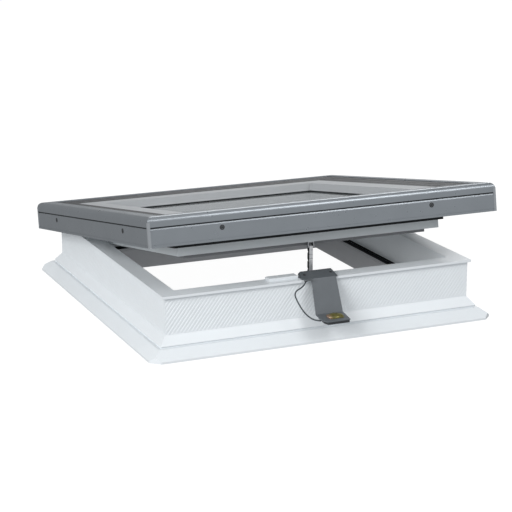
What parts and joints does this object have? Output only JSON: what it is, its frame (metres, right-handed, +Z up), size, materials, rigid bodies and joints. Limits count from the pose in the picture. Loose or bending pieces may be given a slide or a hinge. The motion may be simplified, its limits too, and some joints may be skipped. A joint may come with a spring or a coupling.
{
  "type": "opening flat-roof skylight",
  "caption": "Flat-roof window: mitred white curb with base flange, hinged grey glazed sash held open by a push chain, rain sensor on a bent bracket.",
  "frame": {"origin": "middle of the roof opening, in the plane on which the curb stands", "axes": "+X along the front side, to the right as seen from the front; +Y towards the hinged back side; +Z up"},
  "size_m": [0.9296, 0.9724, 0.3515],
  "materials": {
    "white_plastic": "satin white",
    "grey_cladding": "satin grey powder coat",
    "corner_grey": "satin light grey powder coat",
    "dark_band": "matt dark grey",
    "light_grey_frame": "matt light grey",
    "black_rubber": "matt black",
    "glass": "clear, grey in daylight",
    "drive_aluminium": "satin",
    "black_plastic": "matt",
    "chain_steel": "bright",
    "hinge_steel": "zinc plated",
    "bracket_grey": "satin dark grey",
    "sensor_gold": "gold-coloured sensing surface",
    "cable_grey": "matt dark grey"
  },
  "bodies": {
    "curb": {"curb_front": "white_plastic", "curb_right": "white_plastic", "curb_back": "white_plastic", "curb_left": "white_plastic", "step_strip": "black_rubber", "drive_cover": "white_plastic", "drive_housing": "drive_aluminium", "drive_caps": "black_plastic", "push_chain": "chain_steel", "sensor_bracket": "bracket_grey", "sensor_housing": "bracket_grey", "sensor_plate": "sensor_gold", "cable_grommet": "black_plastic", "sensor_cable": "cable_grey", "hinge_base_left": "hinge_steel", "hinge_base_right": "hinge_steel"},
    "sash": {"cover_front": "grey_cladding", "band_front": "dark_band", "bead_front": "light_grey_frame", "frame_front": "light_grey_frame", "cover_right": "grey_cladding", "band_right": "dark_band", "bead_right": "light_grey_frame", "frame_right": "light_grey_frame", "cover_back": "grey_cladding", "band_back": "dark_band", "bead_back": "light_grey_frame", "frame_back": "light_grey_frame", "cover_left": "grey_cladding", "band_left": "dark_band", "bead_left": "light_grey_frame", "frame_left": "light_grey_frame", "glass_outer": "glass", "glass_spacer": "black_plastic", "glass_inner": "glass", "glazing_seals": "black_rubber", "corner_strips": "corner_grey", "sash_seal": "black_rubber", "chain_fork": "hinge_steel", "hinge_leaf_left": "hinge_steel", "hinge_leaf_right": "hinge_steel"}
  },
  "joints": [
    {"name": "sash_hinge", "type": "hinge", "parent": "curb", "child": "sash", "pos_m": [0, 0.412, 0.168], "axis": [-1, 0, 0], "range_deg": [-10.2, 0], "deforming": ["push_chain"]}
  ]
}
